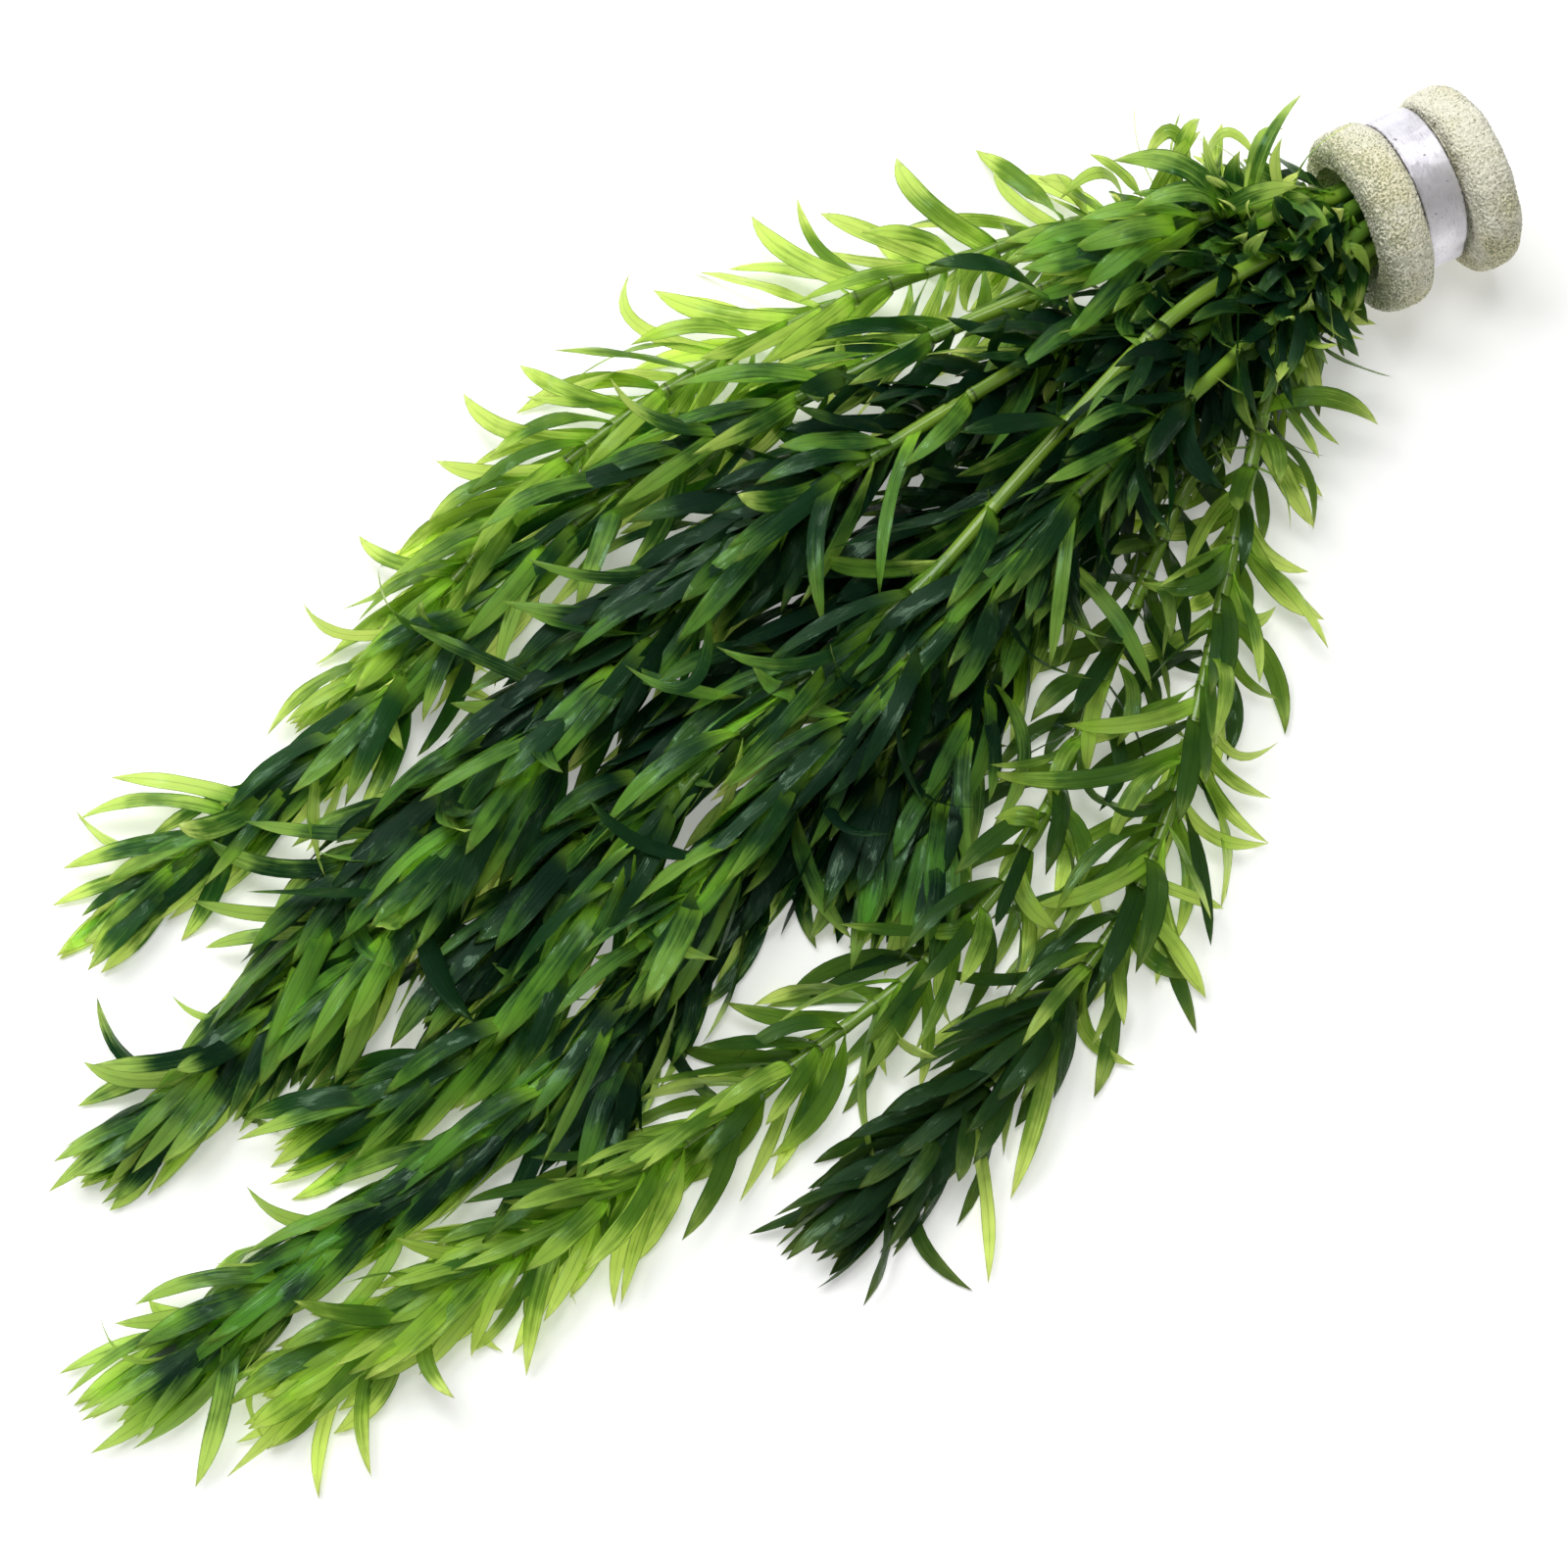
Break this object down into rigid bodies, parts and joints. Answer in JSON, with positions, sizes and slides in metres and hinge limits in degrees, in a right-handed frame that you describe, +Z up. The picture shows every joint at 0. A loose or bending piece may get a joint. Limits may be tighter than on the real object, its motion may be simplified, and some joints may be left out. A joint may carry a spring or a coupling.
{
  "type": "brazilian waterweed bunch",
  "caption": "Bunch of leafy waterweed shoots lying on a surface, their cut ends held in a foam collar squeezed by a strip of soft metal.",
  "frame": {"origin": "centre of the flat under the foam collar's plant end, on the surface that the bunch lies on", "axes": "+X along the collar from its plant end to its far end, so the shoots fan out towards -X; +Z up from the surface"},
  "size_m": [0.2251, 0.1312, 0.0269],
  "materials": {
    "foam": "open-cell sponge, matte, pale cream with a green tinge",
    "lead": "soft lead strip, satin, fine scratches and small dents",
    "shoot_pale": "wet living leaf, yellow-green, lets light through",
    "shoot_green": "wet living leaf, mid green, lets light through",
    "shoot_dark": "wet living leaf, dark green, lets light through"
  },
  "bodies": {
    "root": {"foam_collar": "foam", "lead_strip": "lead", "shoot_01": "shoot_pale", "shoot_02": "shoot_green", "shoot_03": "shoot_green", "shoot_04": "shoot_dark", "shoot_05": "shoot_green", "shoot_06": "shoot_green", "shoot_07": "shoot_dark", "shoot_08": "shoot_dark", "shoot_09": "shoot_green", "shoot_10": "shoot_pale", "shoot_11": "shoot_dark", "shoot_12": "shoot_pale", "shoot_13": "shoot_dark", "shoot_14": "shoot_dark"}
  },
  "joints": []
}
